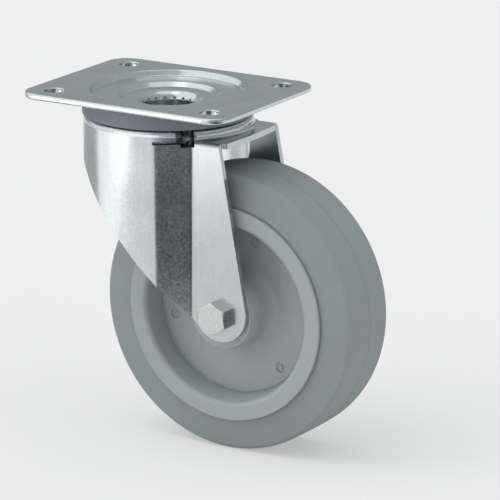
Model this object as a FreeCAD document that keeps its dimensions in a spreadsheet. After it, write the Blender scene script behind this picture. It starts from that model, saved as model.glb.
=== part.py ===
import FreeCAD, Part
import math
import os
import Sketcher

# Swivel castor with a four-hole top plate, a double ball race head and a 125 mm wheel.
#
# Millimetres, +Z up. The origin is on the swivel axis, on the plate's top face. The wheel
# trails towards +X and its axle lies along Y. The castor stands on the plane through the
# lowest point of the tyre.

FACING_OUT = FreeCAD.Vector(0, 0, 1)
LEFT = -1
RIGHT = 1

# A cutting outline runs this far past the metal that it cuts
CUT_PAST = 1

doc = FreeCAD.newDocument("swivel_castor")
dim = doc.addObject("Spreadsheet::Sheet", "dim")

# Driving dimensions: alias, value, what it is
SIZES = [
    ("plate_length", 105, "top plate along X"),
    ("plate_width", 83, "top plate along Y"),
    ("plate_sheet", 2.7, "thickness of the plate"),
    ("plate_corner", 10, "corner radius of the plate"),
    ("plate_edge", 0.9, "rounding of the plate's edges"),
    ("bolt_spacing_x", 80, "bolt holes along X"),
    ("bolt_spacing_y", 60, "bolt holes along Y"),
    ("bolt_hole", 9, "diameter of the bolt holes"),
    ("hole_edge", 0.5, "rounding of the holes' top edges"),
    ("dish_inset", 2.6, "dish's top edge inside the neck's radius"),
    ("dish_depth", 2.5, "depth of the dish"),
    ("dish_run", 1.8, "how far its wall leans in"),
    ("step_reach", 10.8, "inner step's top edge outside the collar's bore"),
    ("step_depth", 1.9, "depth of the inner step"),
    ("step_run", 2.6, "how far that wall leans in"),
    ("bend_radius", 1.6, "inside radius of the plate's bends"),
    ("crest_radius", 0.8, "rounding of the tighter bends in plate and cup"),
    ("collar_bore", 23.6, "bore of the drawn collar"),
    ("collar_wall", 2.4, "wall of the drawn collar"),
    ("flare_reach", 4, "flared end past the collar's wall"),
    ("flare_sheet", 2.1, "thickness of the flared end"),
    ("stake_count", 18, "punched marks round the collar"),
    ("stake_width", 1.5, "width of one punched mark"),
    ("stake_depth", 0.8, "depth of one punched mark"),
    ("stake_drop", 3.2, "height of the marks under the step's floor"),
    ("seal_reach", 0.5, "dust ring's outside past the neck's radius"),
    ("seal_wall", 1.4, "wall of the dust ring"),
    ("seal_lead", 0.7, "rounding inside the dust ring's top"),
    ("seal_edge", 0.35, "rounding of the dust ring's foot"),
    ("seal_skirt", 0.2, "dust ring's foot under the head's top"),
    ("upper_ball", 6, "diameter of the upper balls"),
    ("lower_ball", 6, "diameter of the lower balls"),
    ("ball_spacing", 1.14, "least pitch of the swivel's balls, in ball diameters"),
    ("race_inset", 4.8, "lower balls clear of the collar"),
    ("race_step", 6.5, "upper balls' pitch radius past the lower one"),
    ("race_cover", 9.1, "neck's radius past the upper balls' pitch radius"),
    ("track_depth", 0.5, "depth of a ball track"),
    ("ball_clearance", 0.02, "play between a ball and its track"),
    ("cup_sheet", 2.5, "thickness of the lower race cup"),
    ("cup_reach", 6.5, "cup's rim past the lower balls' pitch radius"),
    ("cup_rise", 3, "height of the rim over the cup's floor"),
    ("cup_edge", 0.8, "rounding of the cup's rim"),
    ("seat_clearance", 0.05, "play of pressed and slid pieces"),
    ("fork_sheet", 2.5, "thickness of the fork's sheet"),
    ("head_gap", 2.8, "fork's bore clear of the collar"),
    ("inner_bend", 0.8, "inside radius of the head's shoulder"),
    ("shoulder", 3.3, "outer radius of the head's shoulder"),
    ("shelf_drop", 5.3, "head's top down to the rear shelf"),
    ("neck_flare", 1.9, "fillet between neck and shelf"),
    ("flare_lead", 3, "that fillet ends so many degrees behind the leg"),
    ("hub_gap", 0.7, "hub clear of the legs"),
    ("crease_inset", 0.55, "crease in front of where leg and neck's circle meet"),
    ("crease_radius", 1.6, "radius of the crease between leg and apron"),
    ("flat_lead", 25, "apron leaves the neck's circle so many degrees before the leg"),
    ("turn_radius", 6, "radius of that turn"),
    ("fold_radius", 2.2, "fold between shelf and leg"),
    ("relief_lead", 4, "relief hole's place, in degrees before the leg"),
    ("relief_bore", 6, "diameter of the relief hole"),
    ("slit_height", 1.3, "slit between shoulder and apron"),
    ("slit_lead", 2, "how many degrees the slit runs past the apron's turn"),
    ("shelf_reach", 5.2, "shelf's rear edge behind the neck, at its ends"),
    ("shelf_crown", 1.1, "how far that edge bows out"),
    ("leg_reach", 3.3, "leg's rear edge behind the neck, at the shelf"),
    ("tongue_inset", 1.6, "shelf's tongue inside the legs"),
    ("tongue_round", 0.9, "roundings where the tongue runs into the legs"),
    ("apron_drop", 28.5, "apron's lower edge at the front"),
    ("toe_inset", 7.5, "where that edge starts to slope, behind the neck's front"),
    ("apron_curve", 20, "radius of the start of the slope"),
    ("leg_end_radius", 13.1, "round lower end of a leg"),
    ("leg_end_back", 1.5, "its centre behind the axle"),
    ("leg_end_up", 2, "its centre over the axle"),
    ("trail", 40, "axle behind the swivel axis"),
    ("over_wheel", 30, "plate's top face over the top of the tyre"),
    ("wheel_diameter", 125, "over the tread"),
    ("tread_crown", 0.25, "drop of the tread at its edges"),
    ("tyre_width", 35.4, "tyre over its sides"),
    ("tyre_height", 17.9, "tyre from the rim to the tread"),
    ("tyre_shoulder", 2.2, "rounding of the tread's edges"),
    ("side_lean", 1.8, "tread's edge inside the tyre's side"),
    ("side_round", 5.9, "bend of the tyre's side over the flange"),
    ("side_rise", 0.9, "where that bend is centred, over the flange"),
    ("flange_gap", 0.1, "flange clear of the tyre's side"),
    ("flange_sheet", 1.8, "thickness of a flange's edge"),
    ("flange_height", 3.6, "flange over the rim under the tyre"),
    ("flange_face", 7.9, "width of a flange's face"),
    ("flange_edge", 0.6, "rounding of a flange's outer edge"),
    ("flange_back_edge", 0.45, "rounding of that edge beside the tyre"),
    ("lip_radius", 2.4, "rounding of the flange's inner lip"),
    ("wall_lean", 1.7, "foot of the rim's inner wall inside its lip"),
    ("web_edge", 16, "web's thickness at that foot"),
    ("web_middle", 13.2, "web's thickness at the hub"),
    ("web_ridge", 0.35, "height of the ridge round the web"),
    ("ridge_inset", 0.6, "ridge clear of the wall's foot"),
    ("ridge_width", 0.6, "width of that ridge"),
    ("ridge_lean", 0.12, "how far the ridge's sides lean in"),
    ("hub_width", 43, "hub over its ends"),
    ("hub_wall", 4, "hub's wall outside the bearing"),
    ("hub_edge", 0.8, "rounding of the hub's end"),
    ("hub_taper", 1.6, "hub's foot outside its end"),
    ("hub_flare", 5, "fillet between hub and web"),
    ("gate_inset", 6, "round gate dimples inside the wall's foot"),
    ("gate_width", 5, "diameter of a dimple"),
    ("gate_nub", 1.6, "diameter of the nub left in it"),
    ("gate_depth", 0.5, "depth of a dimple"),
    ("gate_count", 3, "number of dimples on each side"),
    ("gate_angle", 313, "place of the first dimple"),
    ("bearing_outer", 22, "wheel bearing over its outer ring"),
    ("bearing_width", 7, "wheel bearing"),
    ("bearing_recess", 0.8, "bearing inside the hub's end"),
    ("bearing_edge", 0.4, "rounding of the bearing's rings"),
    ("inner_wall", 2, "wall of a bearing's inner ring"),
    ("outer_wall", 1.7, "wall of a bearing's outer ring"),
    ("race_depth", 0.33, "depth of a bearing's ball track"),
    ("bearing_count", 7, "balls in one bearing"),
    ("cage_wall", 1, "wall of a ball cage"),
    ("cage_width", 5, "width of a ball cage"),
    ("shield_sheet", 0.5, "thickness of a bearing seal"),
    ("shield_gap", 0.2, "seal's lip over the inner ring"),
    ("seat_step", 2, "hub's bore between the bearings, inside their seats"),
    ("axle_thread", 8, "axle bolt's diameter"),
    ("axle_play", 0.06, "bolt's shank under its thread size"),
    ("hole_play", 0.2, "legs' holes round the thread"),
    ("bolt_chamfer", 0.8, "chamfer of the bolt's end"),
    ("head_flats", 13, "bolt head across its flats"),
    ("head_height", 5.3, "bolt head"),
    ("head_turn", 3, "bolt head turned about its axis"),
    ("face_inset", 0.2, "round face of head and nut inside the flats"),
    ("nut_flats", 13, "nut across its flats"),
    ("nut_height", 6.5, "hexagon of the nut"),
    ("nut_collar", 1.7, "round collar of the nut"),
    ("insert_wall", 1.1, "wall of the nylon ring in the collar"),
    ("insert_height", 2.2, "height of that ring"),
    ("thread_over", 1.6, "bolt's end past the nut"),
]

for row, (alias, number, meaning) in enumerate(SIZES, start=1):
    dim.set(f"A{row}", meaning)
    dim.set(f"B{row}", str(number))
    dim.setAlias(f"B{row}", alias)
doc.recompute()


def value(expression):
    """The number that an expression in the sheet's aliases gives now."""
    return float(dim.evalExpression(expression.replace("dim.", "")))


def minus(expression):
    return f"-({expression})"


# Radii about the swivel axis, from the collar outwards
COLLAR_RADIUS = "(dim.collar_bore / 2)"
COLLAR_OUTSIDE = f"({COLLAR_RADIUS} + dim.collar_wall)"
STEP_RADIUS = f"({COLLAR_RADIUS} + dim.step_reach)"
LOWER_PITCH = f"({COLLAR_OUTSIDE} + dim.race_inset + dim.lower_ball / 2)"
UPPER_PITCH = f"({LOWER_PITCH} + dim.race_step)"
CUP_RADIUS = f"({LOWER_PITCH} + dim.cup_reach)"
HEAD_BORE = f"({COLLAR_OUTSIDE} + dim.head_gap)"
NECK_RADIUS = f"({UPPER_PITCH} + dim.race_cover)"
NECK_INSIDE = f"({NECK_RADIUS} - dim.fork_sheet)"
DISH_RADIUS = f"({NECK_RADIUS} - dim.dish_inset)"
SEAL_RADIUS = f"({NECK_RADIUS} + dim.seal_reach)"

# Heights on the swivel axis, from the plate's top face down
STEP_LEVEL = "(dim.dish_depth + dim.step_depth)"
DISH_UNDER = "(dim.dish_depth + dim.plate_sheet)"
HEAD_TOP = f"({DISH_UNDER} + dim.upper_ball - 2 * dim.track_depth)"
UPPER_CENTRE = f"({DISH_UNDER} - dim.track_depth + dim.upper_ball / 2)"
HEAD_UNDER = f"({HEAD_TOP} + dim.fork_sheet)"
LOWER_CENTRE = f"({HEAD_UNDER} - dim.track_depth + dim.lower_ball / 2)"
CUP_FLOOR = f"({HEAD_UNDER} + dim.lower_ball - 2 * dim.track_depth)"
CUP_UNDER = f"({CUP_FLOOR} + dim.cup_sheet)"
SHELF_TOP = f"({HEAD_TOP} + dim.shelf_drop)"
RELIEF_DEPTH = "(dim.shelf_drop + dim.fork_sheet)"

# Widths across the wheel, from its middle plane
HUB_END = "(dim.hub_width / 2)"
LEG_INSIDE = f"({HUB_END} + dim.hub_gap)"
LEG_OUTSIDE = f"({LEG_INSIDE} + dim.fork_sheet)"
TONGUE_HALF = f"({LEG_INSIDE} - dim.tongue_inset)"
FLANGE_BACK = "(dim.tyre_width / 2 + dim.flange_gap)"
FLANGE_END = f"({FLANGE_BACK} + dim.flange_sheet)"
BEARING_OUT = f"({HUB_END} - dim.bearing_recess)"
BEARING_IN = f"({BEARING_OUT} - dim.bearing_width)"
BEARING_MIDDLE = f"({BEARING_OUT} - dim.bearing_width / 2)"
NUT_FACE = f"({LEG_OUTSIDE} + dim.nut_height)"
NUT_END = f"({NUT_FACE} + dim.nut_collar)"
INSERT_SEAT = f"({NUT_END} - dim.insert_height)"

# Places on the fork, lengthwise and as angles about the swivel axis
CREASE_X = f"(sqrt({NECK_RADIUS}^2 - {LEG_OUTSIDE}^2) - dim.crease_inset)"
LEG_REAR = f"({NECK_RADIUS} + dim.leg_reach)"
SHELF_REAR = f"({NECK_RADIUS} + dim.shelf_reach)"
APRON_TOE = f"(dim.toe_inset - {NECK_RADIUS})"
LEG_ANGLE = f"(asin({LEG_OUTSIDE} / {NECK_RADIUS}) / 1 deg)"
FLARE_ANGLE = f"({LEG_ANGLE} - dim.flare_lead)"
RELIEF_ANGLE = f"({LEG_ANGLE} + dim.relief_lead)"
TURN_ANGLE = f"({LEG_ANGLE} + dim.flat_lead)"

# Radii about the axle, from the tread and from the bolt
WHEEL_RADIUS = "(dim.wheel_diameter / 2)"
RIM_RADIUS = f"({WHEEL_RADIUS} - dim.tyre_height)"
FLANGE_RADIUS = f"({RIM_RADIUS} + dim.flange_height)"
FLANGE_BORE = f"({FLANGE_RADIUS} - dim.flange_face)"
WALL_FOOT = f"({FLANGE_BORE} - dim.wall_lean)"
GATE_RADIUS = f"({WALL_FOOT} - dim.gate_inset)"
BOLT_RADIUS = "(dim.axle_thread / 2 - dim.axle_play)"
INSERT_RADIUS = "(dim.axle_thread / 2 + dim.insert_wall)"
INNER_LAND = "(dim.axle_thread / 2 + dim.inner_wall)"
OUTER_LAND = "(dim.bearing_outer / 2 - dim.outer_wall)"
SLEEVE_RADIUS = f"({INNER_LAND} - dim.shield_gap)"
BEARING_PITCH = f"(({INNER_LAND} + {OUTER_LAND}) / 2)"
BEARING_BALL = f"({OUTER_LAND} - {INNER_LAND} + 2 * dim.race_depth)"
HUB_RADIUS = "(dim.bearing_outer / 2 + dim.hub_wall)"
HUB_FOOT = f"({HUB_RADIUS} + dim.hub_taper)"

AXLE_DROP = f"({WHEEL_RADIUS} + dim.over_wheel)"
AXLE = ("dim.trail", "0", minus(AXLE_DROP))


class Corner:
    """One corner of an outline: its place, a rounding and which coordinates hold it.

    A smooth corner joins its two sides in line, without a rounding of its own.
    """

    def __init__(self, x, y, radius=None, fixed="xy", smooth=False):
        self.x = str(x)
        self.y = str(y)
        self.radius = None if radius is None else str(radius)
        self.fixed = fixed
        self.smooth = smooth

    def point(self):
        return FreeCAD.Vector(value(self.x), value(self.y), 0)


class Bow:
    """The side after a corner as part of a circle, run anticlockwise or clockwise."""

    def __init__(self, x, y, radius, anticlockwise=True):
        self.x = str(x)
        self.y = str(y)
        self.radius = str(radius)
        self.anticlockwise = anticlockwise

    def centre(self):
        return FreeCAD.Vector(value(self.x), value(self.y), 0)

    def heading(self, point):
        """Direction of travel along the circle at a point of it."""
        spoke = (point - self.centre()).normalize()
        turn = 1 if self.anticlockwise else -1
        return FreeCAD.Vector(-spoke.y * turn, spoke.x * turn, 0)


def arc_between(centre, radius, start, end, anticlockwise):
    """Arc of a circle, which always runs anticlockwise inside a sketch."""
    if not anticlockwise:
        start, end = end, start
    first = math.atan2(start.y - centre.y, start.x - centre.x)
    last = math.atan2(end.y - centre.y, end.x - centre.x)
    if last <= first:
        last += 2 * math.pi
    return Part.ArcOfCircle(Part.Circle(centre, FACING_OUT, radius), first, last)


def bind(sketch, constraint, expression):
    """Adds a constraint and ties its size to the sheet."""
    index = sketch.addConstraint(constraint)
    sketch.setExpression(f"Constraints[{index}]", expression)


def place_point(sketch, geometry, end, corner):
    """Holds a point of the sketch at a corner's coordinates."""
    point = corner.point()
    if "x" in corner.fixed:
        bind(sketch, Sketcher.Constraint("DistanceX", -1, 1, geometry, end, point.x), corner.x)
    if "y" in corner.fixed:
        bind(sketch, Sketcher.Constraint("DistanceY", -1, 1, geometry, end, point.y), corner.y)


def attach(body, sketch, plane, height=None):
    """Lays a sketch on one of its body's origin planes, lifted along the plane's normal."""
    for feature in body.Origin.OriginFeatures:
        if feature.Role == plane:
            sketch.AttachmentSupport = (feature, "")
    sketch.MapMode = "FlatFace"
    if height is not None:
        sketch.setExpression("AttachmentOffset.Base.z", height)


def draw(sketch, corners, bows=None):
    """Draws one closed outline, each rounded corner tangent to the sides beside it."""
    bows = bows or {}
    count = len(corners)
    points = [corner.point() for corner in corners]

    def heading(side, at):
        if side in bows:
            return bows[side].heading(points[at])
        return (points[(side + 1) % count] - points[side]).normalize()

    arrive = []
    leave = []
    for index, corner in enumerate(corners):
        if corner.radius is None:
            arrive.append(points[index])
            leave.append(points[index])
            continue
        into = heading((index - 1) % count, index)
        out = heading(index, index)
        turn = into.getAngle(out)
        reach = value(corner.radius) * math.tan(turn / 2)
        arrive.append(points[index] - into * reach)
        leave.append(points[index] + out * reach)

    sides = []
    for index in range(count):
        start = leave[index]
        end = arrive[(index + 1) % count]
        if index not in bows:
            sides.append((sketch.addGeometry(Part.LineSegment(start, end), False), 1, 2))
            continue
        bow = bows[index]
        arc = arc_between(bow.centre(), value(bow.radius), start, end, bow.anticlockwise)
        geometry = sketch.addGeometry(arc, False)
        ends = (1, 2) if bow.anticlockwise else (2, 1)
        sides.append((geometry, *ends))
        bind(sketch, Sketcher.Constraint("DistanceX", -1, 1, geometry, 3, bow.centre().x), bow.x)
        bind(sketch, Sketcher.Constraint("DistanceY", -1, 1, geometry, 3, bow.centre().y), bow.y)
        bind(sketch, Sketcher.Constraint("Radius", geometry, value(bow.radius)), bow.radius)

    for index, corner in enumerate(corners):
        before, _, before_end = sides[(index - 1) % count]
        after, after_start, _ = sides[index]
        if corner.radius is None:
            joint = "Tangent" if corner.smooth else "Coincident"
            sketch.addConstraint(
                Sketcher.Constraint(joint, before, before_end, after, after_start))
            place_point(sketch, after, after_start, corner)
            continue
        into = heading((index - 1) % count, index)
        out = heading(index, index)
        left_turn = into.cross(out).z > 0
        radius = value(corner.radius)
        normal = FreeCAD.Vector(-into.y, into.x, 0) * (radius if left_turn else -radius)
        arc = arc_between(arrive[index] + normal, radius, arrive[index], leave[index], left_turn)
        round_side = sketch.addGeometry(arc, False)
        arc_in, arc_out = (1, 2) if left_turn else (2, 1)
        sketch.addConstraint(
            Sketcher.Constraint("Tangent", before, before_end, round_side, arc_in))
        sketch.addConstraint(
            Sketcher.Constraint("Tangent", round_side, arc_out, after, after_start))
        bind(sketch, Sketcher.Constraint("Radius", round_side, radius), corner.radius)
        apex = sketch.addGeometry(Part.Point(points[index]), True)
        sketch.addConstraint(Sketcher.Constraint("PointOnObject", apex, 1, before))
        sketch.addConstraint(Sketcher.Constraint("PointOnObject", apex, 1, after))
        place_point(sketch, apex, 1, corner)


def circle(sketch, x, y, radius):
    """Adds a whole circle to a sketch."""
    centre = FreeCAD.Vector(value(x), value(y), 0)
    geometry = sketch.addGeometry(Part.Circle(centre, FACING_OUT, value(radius)), False)
    bind(sketch, Sketcher.Constraint("DistanceX", -1, 1, geometry, 3, centre.x), x)
    bind(sketch, Sketcher.Constraint("DistanceY", -1, 1, geometry, 3, centre.y), y)
    bind(sketch, Sketcher.Constraint("Radius", geometry, value(radius)), radius)


def new_body(name, at=None):
    """An empty body with a name, placed at expressions for x, y and z."""
    body = doc.addObject("PartDesign::Body", name)
    body.Label = name
    if at is not None:
        for axis, expression in zip("xyz", at):
            body.setExpression(f"Placement.Base.{axis}", expression)
    return body


def new_sketch(body, name, plane, height=None):
    sketch = body.newObject("Sketcher::SketchObject", name)
    attach(body, sketch, plane, height)
    return sketch


def outline(body, name, plane, corners, bows=None, height=None):
    sketch = new_sketch(body, name, plane, height)
    draw(sketch, corners, bows)
    return sketch


def revolve(body, sketch, name, axis="V_Axis"):
    """Turns a sketch once round its own vertical or horizontal axis."""
    feature = body.newObject("PartDesign::Revolution", name)
    feature.Profile = sketch
    feature.ReferenceAxis = (sketch, [axis])
    feature.Angle = 360
    doc.recompute()
    return feature


def groove(body, sketch, name, axis="V_Axis"):
    """Cuts away what a sketch sweeps in one turn."""
    before = body.Shape.Volume
    feature = body.newObject("PartDesign::Groove", name)
    feature.Profile = sketch
    feature.ReferenceAxis = (sketch, [axis])
    feature.Angle = 360
    doc.recompute()
    if not body.Shape.Volume < before:
        raise RuntimeError(f"{body.Label}: {name} cuts nothing")
    return feature


def pad(body, sketch, name, length, reverse=False):
    feature = body.newObject("PartDesign::Pad", name)
    feature.Profile = sketch
    feature.setExpression("Length", length)
    feature.Reversed = reverse
    doc.recompute()
    return feature


def pocket(body, sketch, name, length=None, reverse=False, both_ways=False):
    """Cuts along the sketch's normal, right through where no length is given."""
    before = body.Shape.Volume
    feature = body.newObject("PartDesign::Pocket", name)
    feature.Profile = sketch
    if length is None:
        feature.Type = 1
    else:
        feature.setExpression("Length", length)
    feature.Reversed = reverse
    feature.Midplane = both_ways
    doc.recompute()
    if not body.Shape.Volume < before:
        raise RuntimeError(f"{body.Label}: {name} cuts nothing")
    return feature


def polar(body, feature, name, count, axis_role="Z_Axis"):
    """Repeats a feature evenly round one of the body's axes."""
    pattern = body.newObject("PartDesign::PolarPattern", name)
    pattern.Originals = [feature]
    for axis in body.Origin.OriginFeatures:
        if axis.Role == axis_role:
            pattern.Axis = (axis, [""])
    pattern.Angle = 360
    pattern.setExpression("Occurrences", count)
    body.Tip = pattern
    doc.recompute()
    return pattern


def edges_where(feature, test):
    """Names of the edges whose middle, ends and length pass a test."""
    names = []
    for number, edge in enumerate(feature.Shape.Edges, start=1):
        middle = edge.valueAt((edge.FirstParameter + edge.LastParameter) / 2)
        if test(edge, middle):
            names.append(f"Edge{number}")
    return names


def fillet(body, name, radius, test):
    """Rounds the edges of the body's tip that pass a test."""
    base = body.Tip
    names = edges_where(base, test)
    if not names:
        raise RuntimeError(f"{body.Label}: {name} finds no edge")
    feature = body.newObject("PartDesign::Fillet", name)
    feature.Base = (base, names)
    feature.setExpression("Radius", radius)
    doc.recompute()
    return feature


def near(number, expression, slack=0.02):
    return abs(number - value(expression)) < slack


# Fixed side: plate, dust ring and lower race cup

def sheet_shift(depth, run):
    """How far a leaning wall's lower bend lies outside its upper one, in plate sheet.

    Both faces of the wall then stay one sheet apart, as in a pressed plate.
    """
    return f"(dim.plate_sheet * tan(atan2({depth}; {run}) / 2))"


def build_top_plate():
    """Pressed plate: rounded sheet, stepped dish, drawn collar flared under the cup."""
    body = new_body("top_plate")
    half_length = "dim.plate_length / 2"
    half_width = "dim.plate_width / 2"
    blank = outline(body, "plate_outline", "XY_Plane", [
        Corner(minus(half_length), minus(half_width), "dim.plate_corner"),
        Corner(half_length, minus(half_width), "dim.plate_corner"),
        Corner(half_length, half_width, "dim.plate_corner"),
        Corner(minus(half_length), half_width, "dim.plate_corner"),
    ])
    pad(body, blank, "plate_blank", "dim.plate_sheet", reverse=True)
    fillet(body, "plate_edges", "dim.plate_edge", lambda edge, middle: (
        near(middle.z, "0") or near(middle.z, "-dim.plate_sheet")))

    # The disc inside this circle is pressed down into the dish and drawn into the collar
    rim_join = f"({DISH_RADIUS} + dim.plate_sheet)"
    disc = new_sketch(body, "dish_place", "XY_Plane")
    circle(disc, "0", "0", rim_join)
    pocket(body, disc, "dish_opening")

    dish_low = f"({DISH_RADIUS} + {sheet_shift('dim.dish_depth', 'dim.dish_run')})"
    step_low = f"({STEP_RADIUS} + {sheet_shift('dim.step_depth', 'dim.step_run')})"
    step_under = f"({STEP_LEVEL} + dim.plate_sheet)"
    collar_end = f"({CUP_UNDER} + dim.flare_sheet)"
    flare_radius = f"({COLLAR_OUTSIDE} + dim.flare_reach)"
    section = outline(body, "dish_section", "XZ_Plane", [
        Corner(rim_join, "0"),
        Corner(rim_join, "-dim.plate_sheet"),
        Corner(dish_low, "-dim.plate_sheet", "dim.bend_radius"),
        Corner(f"{dish_low} - dim.dish_run", minus(DISH_UNDER), "dim.bend_radius"),
        Corner(step_low, minus(DISH_UNDER), "dim.bend_radius"),
        Corner(f"{step_low} - dim.step_run", minus(step_under), "dim.bend_radius"),
        Corner(COLLAR_OUTSIDE, minus(step_under), "dim.bend_radius"),
        Corner(COLLAR_OUTSIDE, minus(CUP_UNDER)),
        Corner(flare_radius, minus(CUP_UNDER)),
        Corner(flare_radius, minus(collar_end)),
        Corner(COLLAR_RADIUS, minus(collar_end), "dim.flare_sheet"),
        Corner(COLLAR_RADIUS, minus(STEP_LEVEL), "dim.bend_radius + dim.plate_sheet"),
        Corner(f"{STEP_RADIUS} - dim.step_run", minus(STEP_LEVEL), "dim.crest_radius"),
        Corner(STEP_RADIUS, "-dim.dish_depth", "dim.crest_radius"),
        Corner(f"{DISH_RADIUS} - dim.dish_run", "-dim.dish_depth", "dim.crest_radius"),
        Corner(DISH_RADIUS, "0", "dim.crest_radius"),
    ])
    revolve(body, section, "dish_and_collar")

    track = new_sketch(body, "upper_track_section", "XZ_Plane")
    circle(track, UPPER_PITCH, minus(UPPER_CENTRE), "dim.upper_ball / 2 + dim.ball_clearance")
    groove(body, track, "upper_track")

    holes = new_sketch(body, "bolt_hole_places", "XY_Plane")
    for across in (-1, 1):
        for along in (-1, 1):
            circle(holes, f"{across} * dim.bolt_spacing_x / 2",
                   f"{along} * dim.bolt_spacing_y / 2", "dim.bolt_hole / 2")
    pocket(body, holes, "bolt_holes")
    fillet(body, "hole_edges", "dim.hole_edge", lambda edge, middle: (
        near(middle.z, "0") and edge.isClosed()
        and near(edge.Length, "pi * dim.bolt_hole")))

    stake = new_sketch(body, "stake_mark_place", "XZ_Plane")
    circle(stake, "0", f"-({STEP_LEVEL} + dim.stake_drop)", "dim.stake_width / 2")
    mark = pocket(body, stake, "stake_mark", f"{COLLAR_RADIUS} + dim.stake_depth")
    polar(body, mark, "stake_marks", "dim.stake_count")
    return body


def build_seal_ring():
    """Dust ring pushed over the dish under the plate, down to the fork's shoulder."""
    body = new_body("swivel_seal_ring")
    inside = f"({SEAL_RADIUS} - dim.seal_wall)"
    foot = f"({HEAD_TOP} + dim.seal_skirt)"
    section = outline(body, "seal_section", "XZ_Plane", [
        Corner(inside, minus(foot)),
        Corner(SEAL_RADIUS, minus(foot), "dim.seal_edge"),
        Corner(SEAL_RADIUS, "-dim.plate_sheet"),
        Corner(inside, "-dim.plate_sheet", "dim.seal_lead"),
    ])
    revolve(body, section, "seal_ring")
    return body


def build_race_cup():
    """Pressed cup under the fork's head, held by the collar's flared end."""
    body = new_body("lower_race_cup")
    bore = f"({COLLAR_OUTSIDE} + dim.seat_clearance)"
    inside = f"({CUP_RADIUS} - dim.cup_sheet)"
    rim = f"(dim.cup_rise - {CUP_FLOOR})"
    section = outline(body, "cup_section", "XZ_Plane", [
        Corner(bore, minus(CUP_UNDER)),
        Corner(CUP_RADIUS, minus(CUP_UNDER), "dim.cup_sheet + dim.crest_radius"),
        Corner(CUP_RADIUS, rim, "dim.cup_edge"),
        Corner(inside, rim, "dim.cup_edge"),
        Corner(inside, minus(CUP_FLOOR), "dim.crest_radius"),
        Corner(bore, minus(CUP_FLOOR)),
    ])
    revolve(body, section, "cup")
    track = new_sketch(body, "lower_track_section", "XZ_Plane")
    circle(track, LOWER_PITCH, minus(LOWER_CENTRE), "dim.lower_ball / 2 + dim.ball_clearance")
    groove(body, track, "lower_track")
    return body


def half_disc(body, name, pitch, height, radius, lift=None):
    """Half of a ball's section; its straight side is the ball's own axis."""
    return outline(body, name, "XZ_Plane", [
        Corner(pitch, f"{height} - {radius}", fixed="x"),
        Corner(pitch, f"{height} + {radius}", fixed="x"),
    ], {0: Bow(pitch, height, radius)}, height=lift)


def build_balls(name, diameter, pitch, height, count, at=None, axis="Z_Axis"):
    """A ring of separate balls on a pitch circle."""
    body = new_body(name, at)
    section = half_disc(body, f"{name}_section", pitch, height, f"{diameter} / 2")
    ball = body.newObject("PartDesign::Revolution", f"{name}_first")
    ball.Profile = section
    ball.ReferenceAxis = (section, ["Edge2"])
    ball.Angle = 360
    doc.recompute()
    polar(body, ball, f"{name}_ring", count, axis)
    return body


def full_ring(pitch, diameter):
    """How many swivel balls fill a circle at their least spacing."""
    return f"floor(2 * pi * {pitch} / (dim.ball_spacing * {diameter}))"


# Fork: one sheet, drawn over the race and folded down into the apron and both legs

def build_fork():
    """Pressed fork of one sheet: race head, rear shelf, front apron and two legs."""
    body = new_body("fork")
    shell_apron_and_legs(body)
    shear_sides(body)
    add_shelf(body)
    relief_places = cut_reliefs_and_slits(body)
    fold_legs(body)
    draw_head(body)
    pocket(body, relief_places, "shoulder_reliefs", RELIEF_DEPTH)
    cut_tracks_and_axle(body)
    return body


def shell_apron_and_legs(body):
    """Apron round the head's circle and flat legs behind it, hollowed to the sheet."""
    turn_x = f"({NECK_RADIUS} * cos({TURN_ANGLE}))"
    turn_y = f"({NECK_RADIUS} * sin({TURN_ANGLE}))"
    rear = "(dim.trail + dim.leg_end_back + dim.leg_end_radius + dim.fork_sheet)"
    floor = f"({AXLE_DROP} + dim.leg_end_radius + dim.fork_sheet)"
    plan = outline(body, "apron_and_legs_plan", "XY_Plane", [
        Corner(rear, minus(LEG_OUTSIDE)),
        Corner(rear, LEG_OUTSIDE),
        Corner(CREASE_X, LEG_OUTSIDE, "dim.crease_radius"),
        Corner(turn_x, turn_y, "dim.turn_radius", fixed="x"),
        Corner(turn_x, minus(turn_y), "dim.turn_radius", fixed="x"),
        Corner(CREASE_X, minus(LEG_OUTSIDE), "dim.crease_radius"),
    ], {3: Bow("0", "0", NECK_RADIUS)}, height=minus(SHELF_TOP))
    block = pad(body, plan, "apron_and_legs_block", f"{floor} - {SHELF_TOP}", reverse=True)
    open_faces = []
    for number, face in enumerate(block.Shape.Faces, start=1):
        level = abs(face.normalAt(0, 0).z) > 0.9
        if level or near(face.CenterOfMass.x, rear):
            open_faces.append(f"Face{number}")
    shell = body.newObject("PartDesign::Thickness", "apron_and_legs")
    shell.Base = (block, open_faces)
    shell.setExpression("Value", "dim.fork_sheet")
    shell.Reversed = True
    doc.recompute()


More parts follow.
